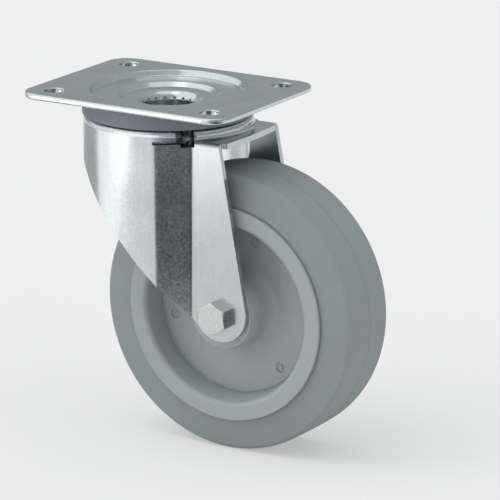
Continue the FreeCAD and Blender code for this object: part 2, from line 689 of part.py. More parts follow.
def shear_sides(body):
    """Shears off, seen from the side, what lies under the apron and round the legs."""
    side = new_sketch(body, "side_shear_outline", "XZ_Plane")
    front = f"-({NECK_RADIUS} + dim.fork_sheet)"
    end_x = "(dim.trail + dim.leg_end_back)"
    end_z = f"(dim.leg_end_up - {AXLE_DROP})"
    slope_x = f"({end_x} - {APRON_TOE})"
    slope_z = f"({end_z} + dim.apron_drop)"
    slope = (f"(atan2({slope_z}; {slope_x})"
             f" - asin(dim.leg_end_radius / sqrt({slope_x}^2 + {slope_z}^2)))")
    rear_x = f"({end_x} - {LEG_REAR})"
    rear_z = f"({end_z} + {SHELF_TOP})"
    rear = (f"(atan2({rear_z}; {rear_x})"
            f" + asin(dim.leg_end_radius / sqrt({rear_x}^2 + {rear_z}^2)))")
    draw(side, [
        Corner(front, "0"),
        Corner(front, "-dim.apron_drop"),
        Corner(APRON_TOE, "-dim.apron_drop", "dim.apron_curve"),
        Corner(f"{end_x} + dim.leg_end_radius * sin({slope})",
               f"{end_z} - dim.leg_end_radius * cos({slope})", fixed="", smooth=True),
        Corner(f"{end_x} - dim.leg_end_radius * sin({rear})",
               f"{end_z} + dim.leg_end_radius * cos({rear})", fixed="", smooth=True),
        Corner(LEG_REAR, minus(SHELF_TOP)),
        Corner(LEG_REAR, "0"),
    ], {3: Bow(end_x, end_z, "dim.leg_end_radius")})
    reach = f"({AXLE_DROP} + dim.trail)"
    draw(side, [
        Corner(minus(reach), minus(reach)),
        Corner(reach, minus(reach)),
        Corner(reach, reach),
        Corner(minus(reach), reach),
    ])
    pocket(body, side, "side_shear", both_ways=True)


def add_shelf(body):
    """Flat shelf behind the neck; its bowed rear edge runs into the legs in an S."""
    front = f"sqrt({NECK_INSIDE}^2 - {LEG_OUTSIDE}^2)"
    bow_radius = f"(({TONGUE_HALF}^2 + dim.shelf_crown^2) / (2 * dim.shelf_crown))"
    plan = outline(body, "shelf_plan", "XY_Plane", [
        Corner(front, minus(LEG_OUTSIDE), fixed="y"),
        Corner(LEG_REAR, minus(LEG_OUTSIDE)),
        Corner(LEG_REAR, minus(TONGUE_HALF), "dim.tongue_round"),
        Corner(SHELF_REAR, minus(TONGUE_HALF), "dim.tongue_round", fixed="y"),
        Corner(SHELF_REAR, TONGUE_HALF, "dim.tongue_round", fixed="y"),
        Corner(LEG_REAR, TONGUE_HALF, "dim.tongue_round"),
        Corner(LEG_REAR, LEG_OUTSIDE),
        Corner(front, LEG_OUTSIDE, fixed="y"),
    ], {
        3: Bow(f"{SHELF_REAR} + dim.shelf_crown - {bow_radius}", "0", bow_radius),
        7: Bow("0", "0", NECK_INSIDE, anticlockwise=False),
    }, height=minus(SHELF_TOP))
    pad(body, plan, "shelf", "dim.fork_sheet", reverse=True)


def cut_reliefs_and_slits(body):
    """Relief holes where shoulder, apron and leg meet, and the slits that run into them.

    Cut here through the flat sheet; the same holes are cut again through the head.
    """
    holes = new_sketch(body, "relief_places", "XY_Plane", minus(HEAD_TOP))
    slits = new_sketch(body, "slit_places", "XY_Plane", minus(SHELF_TOP))
    near_edge = f"({NECK_RADIUS} - 2 * dim.fork_sheet)"
    far_edge = f"({NECK_RADIUS} + dim.fork_sheet)"
    slit_end = f"({TURN_ANGLE} + dim.slit_lead)"
    for side in (LEFT, RIGHT):
        circle(holes, f"{NECK_RADIUS} * cos({RELIEF_ANGLE})",
               f"{side} * {NECK_RADIUS} * sin({RELIEF_ANGLE})", "dim.relief_bore / 2")
        draw(slits, [
            Corner(f"{edge} * cos({angle})", f"{side} * {edge} * sin({angle})")
            for edge, angle in (
                (near_edge, slit_end), (far_edge, slit_end),
                (far_edge, RELIEF_ANGLE), (near_edge, RELIEF_ANGLE))])
    pocket(body, holes, "fold_reliefs", RELIEF_DEPTH)
    pocket(body, slits, "slits", "dim.slit_height")
    return holes


def fold_legs(body):
    """Rounds the folds between the shelf and both legs, from the reliefs to the rear."""
    fillet(body, "leg_folds", "dim.fold_radius", lambda edge, middle: (
        near(abs(middle.y), LEG_OUTSIDE) and near(middle.z, minus(SHELF_TOP))
        and middle.x > value(CREASE_X) and edge.Length > value("dim.fold_radius")))


def draw_head(body):
    """Flat race ring with a rounded shoulder and the neck's wall down to the shelf."""
    section = outline(body, "head_section", "XZ_Plane", [
        Corner(HEAD_BORE, minus(HEAD_UNDER)),
        Corner(NECK_INSIDE, minus(HEAD_UNDER), "dim.inner_bend"),
        Corner(NECK_INSIDE, minus(SHELF_TOP)),
        Corner(NECK_RADIUS, minus(SHELF_TOP)),
        Corner(NECK_RADIUS, minus(HEAD_TOP), "dim.shoulder"),
        Corner(HEAD_BORE, minus(HEAD_TOP)),
    ])
    revolve(body, section, "head")

    # The neck's foot flares out into the shelf, as far as the folds into the legs
    foot = f"({NECK_RADIUS} + dim.neck_flare)"
    buried = f"({NECK_RADIUS} - dim.fork_sheet / 2)"
    flare_top = f"(dim.neck_flare - {SHELF_TOP})"
    sunk = f"-({SHELF_TOP} + dim.fold_radius / 2)"
    flare = outline(body, "neck_flare_section", "XZ_Plane", [
        Corner(buried, sunk),
        Corner(foot, sunk),
        Corner(foot, minus(SHELF_TOP), fixed="x"),
        Corner(NECK_RADIUS, flare_top, fixed="y"),
        Corner(buried, flare_top),
    ], {2: Bow(foot, flare_top, "dim.neck_flare", anticlockwise=False)})
    feature = body.newObject("PartDesign::Revolution", "neck_flare")
    feature.Profile = flare
    feature.ReferenceAxis = (flare, ["V_Axis"])
    feature.setExpression("Angle", f"2 * {FLARE_ANGLE}")
    feature.Midplane = True
    doc.recompute()


def cut_tracks_and_axle(body):
    """Coined ball tracks above and below the race ring, and the axle's holes."""
    for name, pitch, centre, diameter in (
            ("upper_track", UPPER_PITCH, UPPER_CENTRE, "dim.upper_ball"),
            ("lower_track", LOWER_PITCH, LOWER_CENTRE, "dim.lower_ball")):
        track = new_sketch(body, f"fork_{name}_section", "XZ_Plane")
        circle(track, pitch, minus(centre), f"{diameter} / 2 + dim.ball_clearance")
        groove(body, track, f"fork_{name}")
    axle = new_sketch(body, "axle_hole_place", "XZ_Plane")
    circle(axle, "dim.trail", minus(AXLE_DROP), "dim.axle_thread / 2 + dim.hole_play")
    pocket(body, axle, "axle_holes", both_ways=True)


# Axle: everything below is turned about the wheel's axis, so each body stands on it

def hexagon(flats, turn):
    """Six corners of a hexagon about the axle, turned by an angle."""
    reach = f"({flats} / 2 / cos(30))"
    return [Corner(f"{reach} * cos({turn} + {60 * step + 30})",
                   f"{reach} * sin({turn} + {60 * step + 30})") for step in range(6)]


def chamfer_hexagon(body, name, flats, face, side):
    """Turns the corners of a hexagon back from one face at 30 degrees."""
    start = f"({flats} / 2 - dim.face_inset)"
    reach = f"({flats} / 2 / cos(30) + {CUT_PAST})"
    cut = outline(body, f"{name}_section", "YZ_Plane", [
        Corner(f"{side} * ({face} + {CUT_PAST})", start),
        Corner(f"{side} * ({face} + {CUT_PAST})", reach),
        Corner(f"{side} * ({face} - ({reach} - {start}) * tan(30))", reach),
        Corner(f"{side} * {face}", start),
    ])
    groove(body, cut, name, "H_Axis")


def build_axle_bolt():
    """Hexagon bolt from the left leg through sleeves and bearings to the nut."""
    body = new_body("axle_bolt", AXLE)
    end = f"({NUT_END} + dim.thread_over)"
    head = outline(body, "head_plan", "XZ_Plane", hexagon("dim.head_flats", "dim.head_turn"),
                   height=LEG_OUTSIDE)
    pad(body, head, "bolt_head", "dim.head_height")
    chamfer_hexagon(body, "head_chamfer", "dim.head_flats",
                    f"({LEG_OUTSIDE} + dim.head_height)", LEFT)
    shank = outline(body, "shank_section", "YZ_Plane", [
        Corner(minus(LEG_OUTSIDE), "0"),
        Corner(end, "0"),
        Corner(end, f"{BOLT_RADIUS} - dim.bolt_chamfer"),
        Corner(f"{end} - dim.bolt_chamfer", BOLT_RADIUS),
        Corner(minus(LEG_OUTSIDE), BOLT_RADIUS),
    ])
    revolve(body, shank, "shank", "H_Axis")
    return body


def build_axle_nut():
    """Lock nut on the right leg: hexagon, round collar and the nylon ring's seat."""
    body = new_body("axle_nut", AXLE)
    plan = outline(body, "nut_plan", "XZ_Plane", hexagon("dim.nut_flats", "dim.head_turn"),
                   height=minus(LEG_OUTSIDE))
    pad(body, plan, "nut_hexagon", "dim.nut_height", reverse=True)
    chamfer_hexagon(body, "nut_chamfer", "dim.nut_flats", NUT_FACE, RIGHT)
    collar_foot = f"({NUT_FACE} - dim.nut_collar / 2)"
    collar_radius = "(dim.nut_flats / 2 - dim.nut_collar / 2)"
    collar = outline(body, "collar_section", "YZ_Plane", [
        Corner(collar_foot, "0"),
        Corner(NUT_END, "0"),
        Corner(NUT_END, collar_radius, "dim.nut_collar / 2"),
        Corner(collar_foot, collar_radius),
    ])
    revolve(body, collar, "nut_collar_ring", "H_Axis")
    bore = outline(body, "nut_bore_section", "YZ_Plane", [
        Corner(LEG_OUTSIDE, "0"),
        Corner(NUT_END, "0"),
        Corner(NUT_END, INSERT_RADIUS),
        Corner(INSERT_SEAT, INSERT_RADIUS),
        Corner(INSERT_SEAT, "dim.axle_thread / 2"),
        Corner(LEG_OUTSIDE, "dim.axle_thread / 2"),
    ])
    groove(body, bore, "nut_bore", "H_Axis")
    return body


def build_ring(name, inner, outer, start, end, edge=None):
    """A turned ring about the axle, from one face to the other along Y."""
    body = new_body(name, AXLE)
    section = outline(body, f"{name}_section", "YZ_Plane", [
        Corner(start, inner, edge),
        Corner(end, inner, edge),
        Corner(end, outer, edge),
        Corner(start, outer, edge),
    ])
    revolve(body, section, f"{name}_turned", "H_Axis")
    return body


def cut_bearing_track(body, middle):
    """Ball track turned into a bearing's ring."""
    track = new_sketch(body, f"{body.Label}_track_section", "YZ_Plane")
    circle(track, middle, BEARING_PITCH, f"{BEARING_BALL} / 2 + dim.ball_clearance")
    groove(body, track, f"{body.Label}_track", "H_Axis")


def build_cage(name, middle):
    """Ball cage: a thin ring with one round pocket for each ball."""
    body = build_ring(
        name, f"{BEARING_PITCH} - dim.cage_wall / 2", f"{BEARING_PITCH} + dim.cage_wall / 2",
        f"{middle} - dim.cage_width / 2", f"{middle} + dim.cage_width / 2")
    section = half_disc(body, f"{name}_pocket_section", BEARING_PITCH, "0",
                        f"({BEARING_BALL} / 2 + 2 * dim.ball_clearance)", lift=minus(middle))
    before = body.Shape.Volume
    opening = body.newObject("PartDesign::Groove", f"{name}_pocket")
    opening.Profile = section
    opening.ReferenceAxis = (section, ["Edge2"])
    opening.Angle = 360
    doc.recompute()
    polar(body, opening, f"{name}_pockets", "dim.bearing_count", "Y_Axis")
    if not body.Shape.Volume < before:
        raise RuntimeError(f"{name}: the pockets cut nothing")
    return body


def build_bearings():
    """Two sealed ball bearings: rings, balls, cage and a seal at each face."""
    bodies = {}
    for side, word in ((LEFT, "left"), (RIGHT, "right")):
        middle = f"({side} * {BEARING_MIDDLE})"
        start = f"{middle} - dim.bearing_width / 2"
        end = f"{middle} + dim.bearing_width / 2"
        name = f"bearing_inner_ring_{word}"
        bodies[name] = build_ring(
            name, "dim.axle_thread / 2", INNER_LAND, start, end, "dim.bearing_edge")
        cut_bearing_track(bodies[name], middle)
        name = f"bearing_outer_ring_{word}"
        bodies[name] = build_ring(
            name, OUTER_LAND, "dim.bearing_outer / 2", start, end, "dim.bearing_edge")
        cut_bearing_track(bodies[name], middle)
        name = f"bearing_balls_{word}"
        bodies[name] = build_balls(
            name, BEARING_BALL, BEARING_PITCH, "0", "dim.bearing_count",
            at=("dim.trail", middle, minus(AXLE_DROP)), axis="Y_Axis")
        name = f"bearing_cage_{word}"
        bodies[name] = build_cage(name, middle)
        for face, place in ((side, "outer"), (-side, "inner")):
            name = f"bearing_seal_{word}_{place}"
            near_face = f"({middle} + {face} * (dim.bearing_width / 2 - dim.shield_gap))"
            far_face = f"({near_face} - {face} * dim.shield_sheet)"
            low, high = (far_face, near_face) if face == RIGHT else (near_face, far_face)
            bodies[name] = build_ring(
                name, f"{INNER_LAND} + dim.shield_gap",
                f"{OUTER_LAND} - dim.ball_clearance", low, high)
    return bodies


# Wheel: moulded centre and the tyre on its rim

def mirrored_half(corners):
    """The corners of one side, then the same ones on the other side in reverse order."""
    far = [Corner(f"-({corner.x})", corner.y, corner.radius) for corner in reversed(corners)]
    return corners + far


def build_wheel_centre():
    """Moulded centre: flanged rim, dished web with an edge ridge, flared hub."""
    body = new_body("wheel_centre", AXLE)
    edge = "(dim.web_edge / 2)"
    crest = f"({edge} + dim.web_ridge)"
    ridge_out = f"({WALL_FOOT} - dim.ridge_inset)"
    ridge_in = f"({ridge_out} - dim.ridge_width)"
    bearing_seat = "(dim.bearing_outer / 2 + dim.ball_clearance)"
    section = outline(body, "centre_section", "YZ_Plane", mirrored_half([
        Corner(BEARING_IN, "dim.bearing_outer / 2 - dim.seat_step"),
        Corner(BEARING_IN, bearing_seat),
        Corner(HUB_END, bearing_seat),
        Corner(HUB_END, HUB_RADIUS, "dim.hub_edge"),
        Corner("dim.web_middle / 2", HUB_FOOT, "dim.hub_flare"),
        Corner(edge, ridge_in),
        Corner(crest, f"{ridge_in} + dim.ridge_lean"),
        Corner(crest, f"{ridge_out} - dim.ridge_lean"),
        Corner(edge, ridge_out),
        Corner(edge, WALL_FOOT),
        Corner(FLANGE_END, FLANGE_BORE, "dim.lip_radius"),
        Corner(FLANGE_END, FLANGE_RADIUS, "dim.flange_edge"),
        Corner(FLANGE_BACK, FLANGE_RADIUS, "dim.flange_back_edge"),
        Corner(FLANGE_BACK, RIM_RADIUS),
    ]))
    revolve(body, section, "moulded_centre", "H_Axis")

    # The web thins towards the hub, so a dimple starts from the foot's level
    web_slope = f"((dim.web_edge - dim.web_middle) / 2 / ({WALL_FOOT} - {HUB_FOOT}))"
    depth = f"({web_slope} * dim.gate_inset + dim.gate_depth)"
    for side, word in ((LEFT, "left"), (RIGHT, "right")):
        place = new_sketch(body, f"gate_place_{word}", "XZ_Plane", f"{-side} * {edge}")
        for width in ("dim.gate_width", "dim.gate_nub"):
            circle(place, f"{GATE_RADIUS} * cos(dim.gate_angle)",
                   f"{GATE_RADIUS} * sin(dim.gate_angle)", f"{width} / 2")
        dimple = pocket(body, place, f"gate_{word}", depth, reverse=(side == RIGHT))
        polar(body, dimple, f"gates_{word}", "dim.gate_count", "Y_Axis")
    return body


def build_tyre():
    """Rubber tyre: bonded between the flanges, crowned tread with rounded edges."""
    body = new_body("tyre", AXLE)
    side = "(dim.tyre_width / 2)"
    tread = f"({side} - dim.side_lean)"
    side_bend = f"({FLANGE_RADIUS} + dim.side_rise)"
    bow_radius = f"(({tread}^2 + dim.tread_crown^2) / (2 * dim.tread_crown))"
    rim = f"({RIM_RADIUS} + dim.ball_clearance)"
    tread_edge = f"({WHEEL_RADIUS} - dim.tread_crown)"
    section = outline(body, "tyre_section", "YZ_Plane", [
        Corner(minus(side), rim),
        Corner(side, rim),
        Corner(side, side_bend, "dim.side_round"),
        Corner(tread, tread_edge, "dim.tyre_shoulder", fixed="x"),
        Corner(minus(tread), tread_edge, "dim.tyre_shoulder", fixed="x"),
        Corner(minus(side), side_bend, "dim.side_round"),
    ], {3: Bow("0", f"{WHEEL_RADIUS} - {bow_radius}", bow_radius)})
    revolve(body, section, "moulded_tyre", "H_Axis")
    return body


def build_all():
    """Every sub-part by its name."""
    sleeve_bore = "dim.axle_thread / 2 + dim.seat_clearance"
    bodies = {
        "top_plate": build_top_plate(),
        "swivel_seal_ring": build_seal_ring(),
        "lower_race_cup": build_race_cup(),
        "upper_swivel_balls": build_balls(
            "upper_swivel_balls", "dim.upper_ball", UPPER_PITCH,
            minus(UPPER_CENTRE), full_ring(UPPER_PITCH, "dim.upper_ball")),
        "lower_swivel_balls": build_balls(
            "lower_swivel_balls", "dim.lower_ball", LOWER_PITCH,
            minus(LOWER_CENTRE), full_ring(LOWER_PITCH, "dim.lower_ball")),
        "fork": build_fork(),
        "axle_bolt": build_axle_bolt(),
        "axle_nut": build_axle_nut(),
        "nut_insert": build_ring(
            "nut_insert", f"{BOLT_RADIUS} + dim.ball_clearance",
            f"{INSERT_RADIUS} - dim.ball_clearance", INSERT_SEAT, NUT_END),
        "bearing_spacer": build_ring(
            "bearing_spacer", sleeve_bore, SLEEVE_RADIUS, minus(BEARING_IN), BEARING_IN),
        "end_spacer_left": build_ring(
            "end_spacer_left", sleeve_bore, SLEEVE_RADIUS,
            minus(LEG_INSIDE), minus(BEARING_OUT)),
        "end_spacer_right": build_ring(
            "end_spacer_right", sleeve_bore, SLEEVE_RADIUS, BEARING_OUT, LEG_INSIDE),
        "wheel_centre": build_wheel_centre(),
        "tyre": build_tyre(),
    }
    bodies.update(build_bearings())
    return bodies


def check(bodies):
    """Stops on any failed object, and on any sub-part that is empty or not valid."""
    for item in doc.Objects:
        failed = [state for state in item.State if state in ("Invalid", "Error")]
        if failed:
            raise RuntimeError(f"{item.Name} is {failed}")
    for name, body in bodies.items():
        shape = body.Shape
        if shape.isNull() or not shape.isValid() or not shape.Solids:
            raise RuntimeError(f"{name} has no valid solid")


def write(bodies):
    """One STEP file for each sub-part, named after it."""
    os.makedirs("parts", exist_ok=True)
    for name, body in bodies.items():
        body.Shape.exportStep(f"parts/{name}.step")


parts = build_all()
check(parts)
write(parts)
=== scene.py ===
import math

import bmesh
import bpy
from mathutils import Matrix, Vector


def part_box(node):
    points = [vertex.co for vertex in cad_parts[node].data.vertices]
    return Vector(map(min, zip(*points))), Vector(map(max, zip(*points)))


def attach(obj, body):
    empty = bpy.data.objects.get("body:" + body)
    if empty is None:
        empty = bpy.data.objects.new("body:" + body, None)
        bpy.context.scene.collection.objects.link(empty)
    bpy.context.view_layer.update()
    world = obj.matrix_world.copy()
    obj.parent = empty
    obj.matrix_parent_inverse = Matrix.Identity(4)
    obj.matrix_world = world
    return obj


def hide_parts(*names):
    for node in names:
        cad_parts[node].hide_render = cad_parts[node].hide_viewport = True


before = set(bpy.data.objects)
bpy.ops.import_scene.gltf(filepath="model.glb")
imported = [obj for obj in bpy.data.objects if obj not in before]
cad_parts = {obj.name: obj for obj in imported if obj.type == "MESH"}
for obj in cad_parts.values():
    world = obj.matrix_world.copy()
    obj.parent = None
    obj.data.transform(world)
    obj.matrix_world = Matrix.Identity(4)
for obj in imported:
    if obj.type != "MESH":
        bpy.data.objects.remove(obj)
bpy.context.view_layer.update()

MM = 0.001

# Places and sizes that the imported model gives
tyre_low, tyre_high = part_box("tyre")
AXLE = (tyre_low + tyre_high) / 2
WHEEL_RADIUS = (tyre_high.z - tyre_low.z) / 2
TYRE_HALF = tyre_high.y
FLOOR = tyre_low.z


# Shader values: arithmetic on them adds Math nodes

class Shade:
    """A socket of a node tree that takes part in arithmetic."""

    def __init__(self, socket):
        self.socket = socket

    def maths(self, operation, *values):
        """A Math node on the values that are given, or on this one alone."""
        return node(self.socket.id_data, "ShaderNodeMath", {"operation": operation},
                    dict(enumerate(values or (self,))))

    def __add__(self, other):
        return self.maths("ADD", self, other)

    def __radd__(self, other):
        return self.maths("ADD", other, self)

    def __sub__(self, other):
        return self.maths("SUBTRACT", self, other)

    def __rsub__(self, other):
        return self.maths("SUBTRACT", other, self)

    def __mul__(self, other):
        return self.maths("MULTIPLY", self, other)

    def __rmul__(self, other):
        return self.maths("MULTIPLY", other, self)

    def __truediv__(self, other):
        return self.maths("DIVIDE", self, other)

    def __rtruediv__(self, other):
        return self.maths("DIVIDE", other, self)

    def __pow__(self, other):
        return self.maths("POWER", self, other)

    def at_least(self, low):
        """The larger of this value and another."""
        return self.maths("MAXIMUM", self, low)

    def held(self, low=0.0, high=1.0):
        """The value kept between two limits."""
        return self.maths("MINIMUM", self.at_least(low), high)


def node(tree, kind, settings=None, inputs=None, output=0):
    """Adds a node: its settings first, then values or links on its sockets."""
    made = tree.nodes.new(kind)
    for name, setting in (settings or {}).items():
        if name == "stops":
            set_stops(made.color_ramp, setting)
        else:
            setattr(made, name, setting)
    for key, entry in (inputs or {}).items():
        socket = made.inputs[key]
        if isinstance(entry, Shade):
            tree.links.new(entry.socket, socket)
        else:
            socket.default_value = entry
    return Shade(made.outputs[output])


def set_stops(ramp, stops):
    """Gives a colour ramp its places and colours."""
    while len(ramp.elements) > 1:
        ramp.elements.remove(ramp.elements[-1])
    for index, (place, colour) in enumerate(stops):
        element = ramp.elements[0] if index == 0 else ramp.elements.new(place)
        element.position = place
        element.color = (*colour, 1)


class Finish:
    """A material being made: one Principled surface and what feeds it."""

    def __init__(self, name, **constants):
        self.material = bpy.data.materials.new(name)
        self.material.use_nodes = True
        self.tree = self.material.node_tree
        self.surface = self.tree.nodes["Principled BSDF"]
        for socket, constant in constants.items():
            self.surface.inputs[socket.replace("_", " ")].default_value = constant

    def node(self, kind, settings=None, inputs=None, output=0):
        return node(self.tree, kind, settings, inputs, output)

    def place(self, scale=(1, 1, 1), centre=(0, 0, 0)):
        """Object coordinates about a centre, stretched by a scale along each axis."""
        here = self.node("ShaderNodeTexCoord", output="Object")
        moved = self.node("ShaderNodeVectorMath", {"operation": "SUBTRACT"},
                          {0: here, 1: centre})
        return self.node("ShaderNodeVectorMath", {"operation": "MULTIPLY"},
                         {0: moved, 1: scale})

    def axes(self, place=None):
        """X, Y and Z of a place, or of the Object coordinates."""
        parts = self.node("ShaderNodeSeparateXYZ", None, {0: place or self.place()})
        return [Shade(output) for output in parts.socket.node.outputs]

    def noise(self, place, per_metre, detail=3.0, roughness=0.55):
        """Soft random pattern from 0 to 1, with so many patches per metre."""
        return self.node("ShaderNodeTexNoise", None, {
            "Vector": place, "Scale": per_metre, "Detail": detail, "Roughness": roughness})

    def colours(self, factor, stops):
        """A colour ramp along a value."""
        return self.node("ShaderNodeValToRGB", {"stops": stops}, {"Fac": factor})

    def blended(self, factor, colour, other):
        """One colour that turns into another as a factor goes from 0 to 1."""
        return self.node("ShaderNodeMix", {"data_type": "RGBA"},
                         {0: factor, 6: colour, 7: other}, output=2)

    def in_hole(self, x, y, radius, low, high):
        """One inside two upright holes, at y on either side, and none outside."""
        along, across, up = self.axes()
        off_x = along - x
        off_y = across.maths("ABSOLUTE") - y
        distance = (off_x * off_x + off_y * off_y) ** 0.5
        return past(radius, distance) * past(up, low) * past(high, up)

    def in_slit(self, start, end, low, high):
        """One from one x to another between two heights, and none outside."""
        along, _, up = self.axes()
        return past(along, start) * past(end, along) * past(up, low) * past(high, up)

    def bump(self, height, strength, distance):
        """A normal from a height, its full height a distance in metres."""
        return self.node("ShaderNodeBump", None, {
            "Height": height, "Strength": strength, "Distance": distance})

    def feed(self, **links):
        """Links values to the surface's sockets."""
        for socket, value in links.items():
            self.tree.links.new(value.socket, self.surface.inputs[socket.replace("_", " ")])

    def end_in(self, shader):
        """Makes another shader the material's own."""
        out = self.tree.nodes["Material Output"]
        self.tree.links.new(shader.socket, out.inputs["Surface"])


SOFT_EDGE = 0.06 * MM


def past(value, limit, soft=SOFT_EDGE):
    """One where a value has passed a limit, none before it, with a soft edge."""
    return ((value - limit) / soft).held()


def spread(middle, low, high):
    """A ramp's stops, from a colour's darker tone to its lighter one."""
    return [(0.25, tuple(c * low for c in middle)), (0.75, tuple(c * high for c in middle))]


# Finishes of the fork alone: painted shade in its relief holes and slits, and on its legs

RELIEF = {"x": 26.55 * MM, "y": 26.62 * MM, "radius": 3.07 * MM,
          "low": -18.2 * MM, "high": -10.4 * MM}
SLIT = {"start": 13.8 * MM, "end": 26.6 * MM, "low": -16.85 * MM, "high": -15.45 * MM}
# Painted shade: near-black colour put into the fork's relief holes and slits
RELIEF_PAINTED_SHADE = (0.05, 0.055, 0.06, 1)

# Painted shade: a ragged dark patch about the relief holes and over the slits
SHADE_PATCH_SHIFT = 2.0 * MM
SHADE_PATCH_RISE = 0.6 * MM
SHADE_PATCH_REACH = 11.0 * MM
SHADE_PATCH_MIDDLE = 0.40
SHADE_PATCH_DEPTH = 0.85

LEG_START = 26.6 * MM
LEG_EDGE = 0.4 * MM
# Painted shade: the legs are drawn darker than the apron, though the sheet has one plating
LEG_PAINTED_SHADE = (0.45, 0.48, 0.49, 1)
LEG_SHADE_DEPTH = 0.5


def shaded_legs(finish, colour):
    """The colour, with painted shade: a little darker on the legs, which begin behind the
    creases.
    """
    along = finish.axes()[0]
    return finish.blended(past(along, LEG_START, LEG_EDGE) * LEG_SHADE_DEPTH, colour, LEG_PAINTED_SHADE)


def painted_shade_in_reliefs(finish, colour):
    """The colour, with painted shade: near black in holes and slits and in a ragged patch about
    them.
    """
    uneven = finish.noise(finish.place(), per_metre=650.0, roughness=0.7) - SHADE_PATCH_MIDDLE
    shade_patch = finish.in_hole(RELIEF["x"] - SHADE_PATCH_SHIFT, RELIEF["y"],
                           RELIEF["radius"] + uneven * SHADE_PATCH_REACH,
                           SLIT["high"], RELIEF["high"] + SHADE_PATCH_RISE)
    hole_shade = (finish.in_hole(**RELIEF) + finish.in_slit(**SLIT)).held()
    return finish.blended((shade_patch * SHADE_PATCH_DEPTH).at_least(hole_shade), colour, RELIEF_PAINTED_SHADE)


# Finishes: each tone is a mix of patterns, whose shares add up to one

SPANGLE_FROM = 0.35
SPANGLE_CONTRAST = 3.3
RINGS_PER_METRE = 9000.0
RING_WOBBLE = 6.0


def plated_sheet(name, tone, grain, rough, crisp=0.1, fork_shade=False):
    """Bright zinc plating on sheet: soft patches, drawn streaks, spangle and specks.

    Grain is the number of streaks per metre along each axis, and crisp is how much the
    spangle shows. The fork's sheet also gets painted shade in its reliefs and on its legs.
    """
    finish = Finish(name, Metallic=1.0)
    patches = finish.noise(finish.place(), per_metre=60.0, detail=4.0)
    streaks = finish.noise(finish.place(grain), per_metre=1.0, detail=4.0, roughness=0.6)
    flakes = finish.noise(finish.place(), per_metre=1000.0, roughness=0.6)
    spangle = ((flakes - SPANGLE_FROM) * SPANGLE_CONTRAST).held()
    specks = finish.noise(finish.place(), per_metre=2400.0, detail=2.0)
    pattern = patches * 0.40 + streaks * 0.26 + spangle * 0.16 + specks * 0.18
    colour = finish.colours(pattern, spread(tone, 0.84, 1.14))
    # The fork's sheet gets painted shade in its reliefs and on its legs
    if fork_shade:
        colour = painted_shade_in_reliefs(finish, shaded_legs(finish, colour))
    finish.feed(
        Base_Color=colour,
        Roughness=(patches * 0.12 + spangle * crisp * 0.5 + (rough - 0.09)).held(0.08, 0.7),
        Normal=finish.bump(spangle * 0.5 + specks * 0.5, strength=crisp, distance=0.045 * MM))
    return finish.material


def turned_steel(name, tone, centre, rough=0.28):
    """Plated fastener: faint rings about the axle from turning and cold heading."""
    finish = Finish(name, Metallic=1.0)
    place = finish.place(centre=centre)
    along, _, up = finish.axes(place)
    radius = (along * along + up * up) ** 0.5
    wobble = finish.noise(place, per_metre=300.0)
    rings = (radius * RINGS_PER_METRE + wobble * RING_WOBBLE).maths("SINE")
    patches = finish.noise(place, per_metre=700.0, detail=4.0)
    finish.feed(
        Base_Color=finish.colours(patches, spread(tone, 0.97, 1.03)),
        Roughness=(patches * 0.16 + (rough - 0.08)).held(0.1, 0.7),
        Normal=finish.bump(rings * 0.3 + patches * 0.6, strength=0.05, distance=0.03 * MM))
    return finish.material


def ground_steel(name, tone):
    """Hardened, ground and polished bearing steel."""
    finish = Finish(name, Metallic=1.0)
    haze = finish.noise(finish.place(), per_metre=900.0)
    finish.feed(Base_Color=finish.colours(haze, spread(tone, 0.95, 1.04)),
                Roughness=(haze * 0.08 + 0.08).held())
    return finish.material


def moulded_polymer(name, tone, rough=0.42):
    """Satin moulded polymer: fine eroded mould texture and very soft flow clouds."""
    finish = Finish(name, Specular_IOR_Level=0.4)
    clouds = finish.noise(finish.place(), per_metre=32.0)
    grain = finish.noise(finish.place(), per_metre=2600.0, detail=2.0)
    finish.feed(
        Base_Color=finish.colours(clouds * 0.8 + grain * 0.2, spread(tone, 0.95, 1.05)),
        Roughness=(clouds * 0.12 + grain * 0.1 + (rough - 0.11)).held(0.15, 0.9),
        Normal=finish.bump(grain, strength=0.12, distance=0.05 * MM))
    return finish.material


def moulded_rubber(name, tone, rough=0.62):
    """Matt moulded rubber: fine grain, faint bloom in patches."""
    finish = Finish(name, Specular_IOR_Level=0.3)
    bloom = finish.noise(finish.place(), per_metre=38.0, detail=5.0)
    grain = finish.noise(finish.place(), per_metre=1900.0)
    finish.feed(
        Base_Color=finish.colours(bloom * 0.7 + grain * 0.3, spread(tone, 0.93, 1.07)),
        Roughness=(bloom * 0.14 + (rough - 0.07)).held(0.2, 0.95),
        Normal=finish.bump(grain, strength=0.16, distance=0.06 * MM))
    return finish.material


ROLLED_ALONG_X = (22.0, 900.0, 900.0)
DRAWN_UPRIGHT = (420.0, 420.0, 16.0)
NO_GRAIN = (60.0, 60.0, 60.0)

FINISHES = {
    "plate": plated_sheet("zinc_on_rolled_plate", (0.62, 0.66, 0.67), ROLLED_ALONG_X,
                          rough=0.21, crisp=0.075),
    "fork": plated_sheet("zinc_on_drawn_sheet", (0.64, 0.68, 0.69), DRAWN_UPRIGHT,
                         rough=0.22, crisp=0.125, fork_shade=True),
    "cup": plated_sheet("zinc_on_race_cup", (0.55, 0.57, 0.57), NO_GRAIN, rough=0.3),
    "fastener": turned_steel("zinc_on_fasteners", (0.61, 0.64, 0.63), AXLE),
    "bearing": ground_steel("bearing_steel", (0.70, 0.71, 0.73)),
    "ring": moulded_polymer("grey_dust_ring_polymer", (0.185, 0.205, 0.235), rough=0.4),
    "rim": moulded_polymer("light_grey_rim_polymer", (0.36, 0.395, 0.415)),
    "tyre": moulded_rubber("grey_tyre_rubber", (0.270, 0.302, 0.304)),
    "seal": moulded_rubber("black_seal_rubber", (0.02, 0.02, 0.021), rough=0.5),
    "nylon": moulded_polymer("white_lock_nylon", (0.72, 0.73, 0.70), rough=0.35),
}

